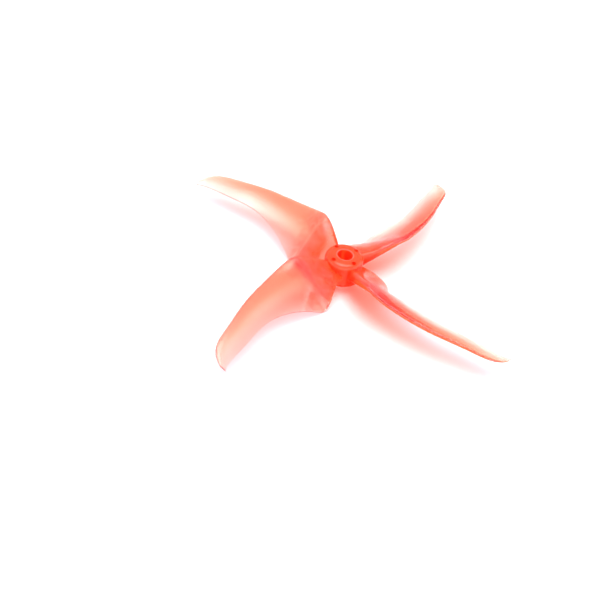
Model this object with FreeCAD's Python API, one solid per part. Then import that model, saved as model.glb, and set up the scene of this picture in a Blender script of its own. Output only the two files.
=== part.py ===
import FreeCAD, Part
import math
import os

# Four-bladed racing-drone propeller, one moulding of clear tinted plastic. Lengths in mm.
# The origin is where the bore axis meets the seat face under the hub. +Z is the thrust side.
# Seen from above it turns clockwise, so each blade's leading edge is on its clockwise side.

# Hub: a round barrel with a shaft bore, and a small blind pocket in its top beside each blade root
HUB_RADIUS = 6.5
HUB_HEIGHT = 8.8
HUB_TOP_ROUND = 1.9
HUB_SEAT_ROUND = 0.3
BORE_RADIUS = 2.5
BORE_CHAMFER = 0.2
POCKET_COUNT = 4
POCKET_RING_RADIUS = 4.8
POCKET_RADIUS = 0.75
POCKET_DEPTH = 1.8
FIRST_POCKET_ANGLE = 28.0

# Blades
BLADE_COUNT = 4
FIRST_BLADE_ANGLE = 45.0

# One row for each control station of a blade's skin, from inside the hub to the tip.
# x runs out along the blade, y across it with the leading edge on the minus side, z up:
# leading edge (x, y, z), trailing edge (x, y, z), camber as a share of the chord, thickness,
# trailing edge thickness.
STATIONS = [
    ((4.3, -4.0, 5.3), (4.3, 3.0, 2.8), 0.0, 4.8, 3.6),
    ((8.1, -6.6, 7.3), (8.8, 3.7, 4.0), 0.0, 3.4, 2.2),
    ((12.0, -8.8, 9.7), (11.8, 4.7, 2.1), 0.0, 3.0, 1.8),
    ((15.4, -10.1, 10.8), (14.7, 5.9, 0.4), 0.01, 3.2, 1.6),
    ((16.6, -10.3, 10.8), (15.8, 6.0, -1.8), 0.05, 2.4, 0.7),
    ((18.2, -10.6, 10.5), (17.2, 5.6, -2.8), 0.08, 2.7, 0.35),
    ((22.4, -11.0, 9.5), (21.4, 4.4, 0.4), 0.07, 2.2, 0.35),
    ((30.5, -10.5, 8.5), (29.7, 0.8, 3.3), 0.06, 2.1, 0.35),
    ((41.0, -9.5, 8.0), (40.0, -1.0, 4.9), 0.05, 1.9, 0.35),
    ((52.5, -6.0, 7.0), (51.0, 1.5, 5.0), 0.05, 1.5, 0.35),
    ((61.5, -4.5, 6.0), (60.0, 1.5, 4.0), 0.05, 0.9, 0.3),
    ((63.3, 1.0, 4.5), (63.4, 3.3, 4.0), 0.05, 0.5, 0.3),
]

# The skin's control points over half a section, each at a share of the chord from the leading
# edge: behind the thickest place, how much of the swell over the trailing edge is left there,
# and round the nose, the share of the full half thickness.
REAR = [(0.8, 0.05), (0.55, 0.3), (0.3, 0.9)]
NOSE = [(0.12, 1.0), (0.02, 0.7), (0.0, 0.26)]


def pocket(angle):
    """A small blind hole down into the top of the hub."""
    turn = math.radians(angle)
    x = POCKET_RING_RADIUS * math.cos(turn)
    y = POCKET_RING_RADIUS * math.sin(turn)
    foot = FreeCAD.Vector(x, y, HUB_HEIGHT - POCKET_DEPTH)
    return Part.makeCylinder(POCKET_RADIUS, POCKET_DEPTH + 1.0, foot)


def make_barrel():
    """The hub's outer shape: a cylinder, well rounded at the top and slightly at the seat."""
    barrel = Part.makeCylinder(HUB_RADIUS, HUB_HEIGHT)
    top = [e for e in barrel.Edges if e.BoundBox.ZMin > HUB_HEIGHT - 0.01]
    barrel = barrel.makeFillet(HUB_TOP_ROUND, top)
    seat = [e for e in barrel.Edges if e.BoundBox.ZMax < 0.01]
    return barrel.makeFillet(HUB_SEAT_ROUND, seat)


def make_hub():
    """The barrel with its shaft bore, chamfered at the mouth, and its pockets."""
    hub = make_barrel().cut(Part.makeCylinder(BORE_RADIUS, HUB_HEIGHT))
    mouth = FreeCAD.Vector(0, 0, HUB_HEIGHT - BORE_CHAMFER)
    wide = BORE_RADIUS + BORE_CHAMFER
    hub = hub.cut(Part.makeCone(BORE_RADIUS, wide, BORE_CHAMFER, mouth))
    for i in range(POCKET_COUNT):
        hub = hub.cut(pocket(FIRST_POCKET_ANGLE + 360.0 * i / POCKET_COUNT))
    return hub


def station_points(lead, trail, camber, thickness, edge_thickness):
    """A station's control points, from the trailing edge over the nose and back underneath."""
    lead = FreeCAD.Vector(*lead)
    chord = FreeCAD.Vector(*trail) - lead
    level = FreeCAD.Vector(-chord.y, chord.x, 0)
    normal = level.cross(chord)
    normal.normalize()
    if normal.z < 0:
        normal = -normal
    edge = edge_thickness / thickness
    rear = [(share, edge + (1 - edge) * swell) for share, swell in REAR]
    half = [(1.0, edge)] + rear + NOSE
    upper = []
    lower = []
    for share, fullness in half:
        middle = lead + chord * share
        middle += normal * (4 * camber * chord.Length * share * (1 - share))
        rise = normal * (fullness * thickness / 2)
        upper.append(middle + rise)
        lower.append(middle - rise)
    return upper + lower[::-1]


def even_knots(count):
    """Knots and multiplicities of a clamped cubic with evenly spaced knots."""
    spans = count - 3
    knots = [i / spans for i in range(spans + 1)]
    return knots, [4] + [1] * (spans - 1) + [4]


def make_blade():
    """One whole blade along +X, its root still running on into the hub."""
    rows = [station_points(*station) for station in STATIONS]
    along, along_mults = even_knots(len(rows))
    around, around_mults = even_knots(len(rows[0]))
    skin = Part.BSplineSurface()
    skin.buildFromPolesMultsKnots(
        rows, along_mults, around_mults, along, around, False, False, 3, 3
    )
    top_edge = skin.vIso(0.0)
    bottom_edge = skin.vIso(1.0)
    root_edge = skin.uIso(0.0)
    tip_edge = skin.uIso(1.0)
    back = Part.makeRuledSurface(top_edge.toShape(), bottom_edge.toShape())
    caps = []
    for rim in (root_edge, tip_edge):
        close = Part.makeLine(rim.EndPoint, rim.StartPoint)
        caps.append(Part.Face(Part.Wire([rim.toShape(), close])))
    shell = Part.Shell([skin.toShape(), back] + caps)
    shell.sewShape()
    blade = Part.Solid(shell)
    if blade.Volume < 0:
        blade.reverse()
    return blade


os.makedirs("parts", exist_ok=True)
make_hub().exportStep("parts/hub.step")
# The part of the root that the barrel takes up comes off, so that blade and hub meet face to face.
trimmed = make_blade().cut(make_barrel())
for i in range(BLADE_COUNT):
    blade = trimmed.copy()
    angle = FIRST_BLADE_ANGLE + 360.0 * i / BLADE_COUNT
    blade.rotate(FreeCAD.Vector(0, 0, 0), FreeCAD.Vector(0, 0, 1), angle)
    blade.exportStep("parts/blade_%d.step" % (i + 1))
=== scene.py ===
import math

import bpy
from mathutils import Matrix, Vector


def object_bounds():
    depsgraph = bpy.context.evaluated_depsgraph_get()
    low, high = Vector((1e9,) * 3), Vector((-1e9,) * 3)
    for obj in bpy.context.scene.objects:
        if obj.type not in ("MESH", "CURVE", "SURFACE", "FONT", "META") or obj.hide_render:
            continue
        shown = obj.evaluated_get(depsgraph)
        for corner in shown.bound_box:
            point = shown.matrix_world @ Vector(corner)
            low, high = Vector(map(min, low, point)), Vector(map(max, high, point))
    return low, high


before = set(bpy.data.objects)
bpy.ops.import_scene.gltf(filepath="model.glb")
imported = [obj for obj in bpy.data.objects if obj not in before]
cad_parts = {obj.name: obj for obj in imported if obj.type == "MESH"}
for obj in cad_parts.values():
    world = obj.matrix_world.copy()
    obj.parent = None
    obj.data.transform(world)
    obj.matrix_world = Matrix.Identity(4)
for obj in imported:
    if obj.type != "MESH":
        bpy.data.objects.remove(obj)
CAD_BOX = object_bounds()

# The camera: how it looks at the propeller, in degrees, metres and millimetres of lens
AZIMUTH = -14.0
ELEVATION = 43.0
ROLL = 10.2
LENS = 57.05
DISTANCE = 0.3094
AIM = Vector((-0.01563, -0.01273, 0.0))
SENSOR_WIDTH = 36.0
NEAREST = 0.005
FARTHEST = 50.0

# The plastic: how it takes up light inside, per metre, its surface colours, what share of it is
# clear, how much less near the hub, how it bends light, and its lowest and highest roughness
ABSORPTION_COLOR = (1.0, 0.38, 0.11, 1)
BLADE_DENSITY = 930.0
HUB_DENSITY = 350.0
DENSE_COLOR = (1.0, 0.26, 0.08, 1)
CLEAR_COLOR = (1.0, 0.98, 1.0, 1)
FLOW_COLOR = (1.0, 0.8, 0.72, 1)
FLOW_STRENGTH = 0.2
SHADOW_TINT = (1.0, 0.88, 0.98, 1)
CLEARNESS = 0.96
ROOT_SOLID = 0.3
REFRACTION = 1.48
SMOOTHEST = 0.04
DULLEST = 0.12

# Patterns in the plastic, each with how fine, how detailed and how swirled it is
CLOUDS = (260.0, 3.0, 0.8)
STREAKS = (22.0, 3.0, 0.4)
GRAIN = (900.0, 2.0, 0.0)
WAVES = (190.0, 1.0, 0.0)

# Which part of each pattern's range shows, how far the clouds push the end of the root's colour,
# in metres, and how strong and how deep, in metres, the grain and the waves are in the surface
CLOUD_LOW = 0.3
CLOUD_MIDDLE = 0.5
CLOUD_HIGH = 0.7
CLOUD_PUSH = 0.012
STREAK_LOW = 0.42
STREAK_HIGH = 0.72
GRAIN_STRENGTH = 0.15
GRAIN_DEPTH = 0.0002
WAVE_STRENGTH = 0.08
WAVE_DEPTH = 0.0005

# How far out along a blade the dense colour of the root begins to fade and is gone, in metres
DENSE_TO = 0.007
CLEAR_FROM = 0.024

# A paler line painted along the fold across each blade's root is the fold's highlight: where it is
# along the blade, how far it spreads to each side, in metres, and how much of the root's colour it
# takes away
FOLD_AT = 0.0158
FOLD_HIGHLIGHT_SPREAD = 0.0011
FOLD_HIGHLIGHT_PALE = 0.5

# The trailing rims, which stand steeply: the deeper red painted on them for the light that ran
# along inside the plate and leaves there, how level a surface may be to count as steep, how far
# out they begin, where across a blade they end, and where the leading side has fully begun, in
# metres
RIM_PAINTED_LIGHT_COLOR = (0.98, 0.2, 0.16, 1)
RIM_START = 0.6
RIM_FULL = 0.3
RIM_FROM = 0.0185
TRAILING_SIDE = -0.003
LEADING_SIDE = -0.005

# A paler ring painted at the bore's mouth as the highlight that its edge catches: its colour,
# where it is, how far it spreads inwards and outwards, and the heights where it fades in, in
# metres
MOUTH_HIGHLIGHT_COLOR = (1.0, 0.55, 0.4, 1)
MOUTH_RADIUS = 0.0028
MOUTH_SPREAD = 0.0004
MOUTH_LOW = 0.0083
MOUTH_HIGH = 0.0087

# The thick leading edges, which look nearly solid: their colour, how solid they are, how level
# a surface may be there, and how far out they begin and are whole, in metres
NOSE_COLOR = (1.0, 0.33, 0.09, 1)
NOSE_SOLID = 0.5
NOSE_START = 0.8
NOSE_FULL = 0.35
NOSE_FROM = 0.008
NOSE_WHOLE = 0.014

# The tent of light: how bright its walls are, how much brighter the tent looks to the camera and
# through the plastic, how bright its roof is, and the heights where walls turn into roof
WALL_LIGHT = 0.7
WALL_SEEN = 1.0
ROOF_LIGHT = 8.0
WALL_TOP = 0.88
ROOF_EDGE = 0.97

# The band of lamps that the plastic mirrors: its heights on the tent's wall, where it ends towards
# the far side, how soft its edges are, how bright it is, and how much brighter all of the tent is
# in reflections
BAND_BOTTOM = 0.12
BAND_TOP = 0.38
BAND_END = 0.25
BAND_BLUR = 0.12
BAND_LIGHT = 4.5
WALL_GLOW = 0.5

# The paper: half its side, how far it is below the propeller, in metres, and its colour and
# roughness
PAPER_HALF = 3.0
PAPER_GAP = 0.0002
PAPER_COLOR = (0.98, 0.98, 0.98, 1)
PAPER_ROUGHNESS = 0.9

# How the picture is developed, and how many times light may bounce in the plastic, bounce off
# the paper and pass straight through the plastic
EXPOSURE = -0.3
GAMMA = 0.84
CLEAR_BOUNCES = 64
PAPER_BOUNCES = 16
STRAIGHT_BOUNCES = 32


def make_camera():
    """Looks at the aim point from the set angle, rolled a little about the line of sight."""
    azimuth = math.radians(AZIMUTH)
    elevation = math.radians(ELEVATION)
    level = math.cos(elevation)
    back = Vector((math.sin(azimuth) * level, -math.cos(azimuth) * level, math.sin(elevation)))
    right = Vector((0, 0, 1)).cross(back).normalized()
    up = back.cross(right)
    turn = Matrix((right, up, back)).transposed() @ Matrix.Rotation(math.radians(ROLL), 3, "Z")
    camera = bpy.data.objects.new("camera", bpy.data.cameras.new("camera"))
    camera.data.lens = LENS
    camera.data.sensor_width = SENSOR_WIDTH
    camera.data.clip_start = NEAREST
    camera.data.clip_end = FARTHEST
    camera.matrix_world = Matrix.Translation(AIM + back * DISTANCE) @ turn.to_4x4()
    bpy.context.scene.collection.objects.link(camera)
    bpy.context.scene.camera = camera


class Nodes:
    """Adds shader nodes to one tree and links them."""

    def __init__(self, tree):
        self.tree = tree

    def add(self, kind, **settings):
        node = self.tree.nodes.new(kind)
        for name, value in settings.items():
            setattr(node, name, value)
        return node

    def link(self, source, target):
        self.tree.links.new(source, target)

    def math(self, operation, a, b=0.0):
        node = self.add("ShaderNodeMath", operation=operation)
        for socket, value in zip(node.inputs, (a, b)):
            if isinstance(value, (int, float)):
                socket.default_value = value
            else:
                self.link(value, socket)
        return node.outputs[0]

    def ramp(self, value, low, high, at_low=0.0, at_high=1.0):
        """A smooth step from at_low to at_high as the value goes from low to high."""
        node = self.add("ShaderNodeMapRange", interpolation_type="SMOOTHSTEP")
        self.link(value, node.inputs["Value"])
        for name, number in (
            ("From Min", low), ("From Max", high), ("To Min", at_low), ("To Max", at_high),
        ):
            node.inputs[name].default_value = number
        return node.outputs["Result"]

    def vector(self, operation, a):
        node = self.add("ShaderNodeVectorMath", operation=operation)
        self.link(a, node.inputs[0])
        return node

    def split(self, vector):
        node = self.add("ShaderNodeSeparateXYZ")
        self.link(vector, node.inputs[0])
        return node.outputs

    def noise(self, place, scale, detail, distortion):
        node = self.add("ShaderNodeTexNoise")
        self.link(place, node.inputs["Vector"])
        node.inputs["Scale"].default_value = scale
        node.inputs["Detail"].default_value = detail
        node.inputs["Distortion"].default_value = distortion
        return node.outputs["Fac"]

    def bump(self, height, strength, depth):
        node = self.add("ShaderNodeBump")
        node.inputs["Strength"].default_value = strength
        node.inputs["Distance"].default_value = depth
        self.link(height, node.inputs["Height"])
        return node

    def blend(self, factor, a, b):
        """A colour that goes from a to b as the factor goes from 0 to 1."""
        node = self.add("ShaderNodeMix", data_type="RGBA")
        for name, value in (("Factor", factor), ("A", a), ("B", b)):
            if isinstance(value, (float, tuple)):
                node.inputs[name].default_value = value
            else:
                self.link(value, node.inputs[name])
        return node.outputs["Result"]


class Place:
    """Where a point lies: from the bore's axis, along and across its own blade, and how high."""

    def __init__(self, n):
        self.point = n.add("ShaderNodeTexCoord").outputs["Object"]
        flat = n.vector("MULTIPLY", self.point)
        flat.inputs[1].default_value = (1, 1, 0)
        self.radius = n.vector("LENGTH", flat.outputs[0]).outputs["Value"]
        self.direction = n.vector("NORMALIZE", flat.outputs[0]).outputs["Vector"]
        x, y, self.height = n.split(self.point)
        angle = n.math("ARCTAN2", y, x)
        # The angle from the blade's own line, minus towards the leading edge
        turn = n.math("SUBTRACT", n.math("FLOORED_MODULO", angle, math.pi / 2), math.pi / 4)
        self.across = n.math("MULTIPLY", self.radius, n.math("SINE", turn))
        self.along = n.math("MULTIPLY", self.radius, n.math("COSINE", turn))


def root_share(n, at, cloud):
    """How much of the root's dense colour a place has: cloudy at its end, less on the fold, where
    a paler line is painted as the fold's highlight.
    """
    wander = n.math("MULTIPLY", n.math("SUBTRACT", cloud, CLOUD_MIDDLE), CLOUD_PUSH)
    share = n.ramp(n.math("ADD", at.along, wander), DENSE_TO, CLEAR_FROM, 1.0, 0.0)
    # Painted highlight: a paler line along the fold, where less of the root's colour shows
    off_fold = n.math("ABSOLUTE", n.math("SUBTRACT", at.along, FOLD_AT))
    return n.math("MULTIPLY", share, n.ramp(off_fold, 0.0, FOLD_HIGHLIGHT_SPREAD, 1 - FOLD_HIGHLIGHT_PALE, 1.0))


def streaked_colour(n, at):
    """Faint streaks left by the plastic as it ran out from the hub into the blades."""
    streak = n.ramp(n.noise(at.direction, *STREAKS), STREAK_LOW, STREAK_HIGH)
    return n.blend(n.math("MULTIPLY", streak, FLOW_STRENGTH), CLEAR_COLOR, FLOW_COLOR)


def mouth_highlight_share(n, at):
    """How far a place is in the painted highlight ring at the bore's mouth."""
    off_mouth = n.math("ABSOLUTE", n.math("SUBTRACT", at.radius, MOUTH_RADIUS))
    ring = n.ramp(off_mouth, 0.0, MOUTH_SPREAD, 1.0, 0.0)
    return n.math("MULTIPLY", ring, n.ramp(at.height, MOUTH_LOW, MOUTH_HIGH))


def rim_painted_light_share(n, at, upright):
    """How far a place is in a trailing rim, painted deeper red for the light that ran along inside
    the plate and leaves there.
    """
    steep = n.ramp(upright, RIM_START, RIM_FULL)
    trailing = n.math("GREATER_THAN", at.across, TRAILING_SIDE)
    outside = n.math("GREATER_THAN", at.radius, RIM_FROM)
    return n.math("MULTIPLY", steep, n.math("MULTIPLY", trailing, outside))


def nose_share(n, at, upright):
    """How far a place is in a thick rounded leading edge, which scatters light inside."""
    leading = n.ramp(at.across, TRAILING_SIDE, LEADING_SIDE)
    begun = n.ramp(at.radius, NOSE_FROM, NOSE_WHOLE)
    rounded = n.ramp(upright, NOSE_START, NOSE_FULL)
    return n.math("MULTIPLY", rounded, n.math("MULTIPLY", leading, begun))


def moulded_skin(n, at):
    """The normal of a skin with a fine grain and long slow waves."""
    grain = n.bump(n.noise(at.point, *GRAIN), GRAIN_STRENGTH, GRAIN_DEPTH)
    wave = n.bump(n.noise(at.point, *WAVES), WAVE_STRENGTH, WAVE_DEPTH)
    n.link(grain.outputs["Normal"], wave.inputs["Normal"])
    return wave.outputs["Normal"]


def tinted_plastic(name, density):
    """Clear red-orange plastic: deep colour where it is thick, little where it is thin."""
    material = bpy.data.materials.new(name)
    material.use_nodes = True
    n = Nodes(material.node_tree)
    shader = material.node_tree.nodes["Principled BSDF"]
    output = material.node_tree.nodes["Material Output"]
    at = Place(n)
    cloud = n.noise(at.point, *CLOUDS)
    facing = n.split(n.add("ShaderNodeNewGeometry").outputs["True Normal"])
    upright = n.math("ABSOLUTE", facing["Z"])
    root = root_share(n, at, cloud)
    nose = nose_share(n, at, upright)

    tint = n.blend(root, streaked_colour(n, at), DENSE_COLOR)
    # Painted highlight: a paler ring at the bore's mouth
    tint = n.blend(mouth_highlight_share(n, at), tint, MOUTH_HIGHLIGHT_COLOR)
    tint = n.blend(nose, tint, NOSE_COLOR)
    # Painted light: a deeper red on the steep trailing rims, where light that ran inside the plate
    # leaves
    tint = n.blend(rim_painted_light_share(n, at, upright), tint, RIM_PAINTED_LIGHT_COLOR)
    n.link(tint, shader.inputs["Base Color"])

    solid_root = n.math("MULTIPLY", root, ROOT_SOLID)
    solid = n.math("MAXIMUM", solid_root, n.math("MULTIPLY", nose, NOSE_SOLID))
    n.link(n.math("SUBTRACT", CLEARNESS, solid), shader.inputs["Transmission Weight"])
    shader.inputs["IOR"].default_value = REFRACTION
    roughness = n.ramp(cloud, CLOUD_LOW, CLOUD_HIGH, SMOOTHEST, DULLEST)
    n.link(roughness, shader.inputs["Roughness"])
    n.link(moulded_skin(n, at), shader.inputs["Normal"])

    volume = n.add("ShaderNodeVolumeAbsorption")
    volume.inputs["Color"].default_value = ABSORPTION_COLOR
    volume.inputs["Density"].default_value = density
    n.link(volume.outputs["Volume"], output.inputs["Volume"])

    # Light on its way to the paper passes straight through, which gives the soft pink shadow
    straight = n.add("ShaderNodeBsdfTransparent")
    straight.inputs["Color"].default_value = SHADOW_TINT
    mix = n.add("ShaderNodeMixShader")
    n.link(n.add("ShaderNodeLightPath").outputs["Is Diffuse Ray"], mix.inputs[0])
    n.link(shader.outputs["BSDF"], mix.inputs[1])
    n.link(straight.outputs["BSDF"], mix.inputs[2])
    n.link(mix.outputs["Shader"], output.inputs["Surface"])
    return material


def paper():
    """The white sheet that the propeller lies on."""
    material = bpy.data.materials.new("white_paper")
    material.use_nodes = True
    shader = material.node_tree.nodes["Principled BSDF"]
    shader.inputs["Base Color"].default_value = PAPER_COLOR
    shader.inputs["Roughness"].default_value = PAPER_ROUGHNESS
    shader.inputs["Specular IOR Level"].default_value = 0.0
    return material


def make_floor():
    """The sheet of paper, a hair below the lowest point of the propeller."""
    height = CAD_BOX[0].z - PAPER_GAP
    sides = ((-1, -1), (1, -1), (1, 1), (-1, 1))
    corners = [(x * PAPER_HALF, y * PAPER_HALF, height) for x, y in sides]
    mesh = bpy.data.meshes.new("floor")
    mesh.from_pydata(corners, [], [(0, 1, 2, 3)])
    floor = bpy.data.objects.new("floor", mesh)
    floor.data.materials.append(paper())
    bpy.context.scene.collection.objects.link(floor)


def light_studio():
    """A white tent, brightest overhead, with a band of lamps that shows only in reflections."""
    world = bpy.data.worlds.new("studio")
    world.use_nodes = True
    n = Nodes(world.node_tree)
    background = world.node_tree.nodes["Background"]
    background.inputs["Color"].default_value = (1, 1, 1, 1)
    toward = n.split(n.add("ShaderNodeTexCoord").outputs["Generated"])
    height = toward["Z"]
    strength = n.ramp(height, WALL_TOP, ROOF_EDGE, WALL_LIGHT, ROOF_LIGHT)
    # Behind the propeller, and through it, the tent shows as white as the paper
    path = n.add("ShaderNodeLightPath")
    looked = n.math("ADD", path.outputs["Is Camera Ray"], path.outputs["Is Transmission Ray"])
    seen = n.math("MULTIPLY", looked, WALL_SEEN)
    # A band of soft lamps, low on the near side of the tent, is mirrored along rounded edges
    rise = n.ramp(height, BAND_BOTTOM, BAND_BOTTOM + BAND_BLUR, 0.0, BAND_LIGHT)
    fall = n.ramp(height, BAND_TOP, BAND_TOP + BAND_BLUR, 1.0, 0.0)
    near = n.ramp(toward["Y"], BAND_END, BAND_END + BAND_BLUR, 1.0, 0.0)
    lamps = n.math("MULTIPLY", rise, n.math("MULTIPLY", fall, near))
    mirrored = n.math("MULTIPLY", path.outputs["Is Glossy Ray"], n.math("ADD", lamps, WALL_GLOW))
    total = n.math("ADD", strength, n.math("ADD", seen, mirrored))
    n.link(total, background.inputs["Strength"])
    world.cycles.sampling_method = "NONE"
    bpy.context.scene.world = world


make_camera()
make_floor()
light_studio()
blade_plastic = tinted_plastic("blade_plastic", BLADE_DENSITY)
hub_plastic = tinted_plastic("hub_plastic", HUB_DENSITY)
for name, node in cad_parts.items():
    for slot in node.material_slots:
        slot.material = hub_plastic if name == "hub" else blade_plastic

scene = bpy.context.scene
scene.view_settings.view_transform = "Standard"
scene.view_settings.exposure = EXPOSURE
scene.view_settings.gamma = GAMMA
scene.cycles.max_bounces = CLEAR_BOUNCES
scene.cycles.transmission_bounces = CLEAR_BOUNCES
scene.cycles.glossy_bounces = CLEAR_BOUNCES
scene.cycles.diffuse_bounces = PAPER_BOUNCES
scene.cycles.transparent_max_bounces = STRAIGHT_BOUNCES
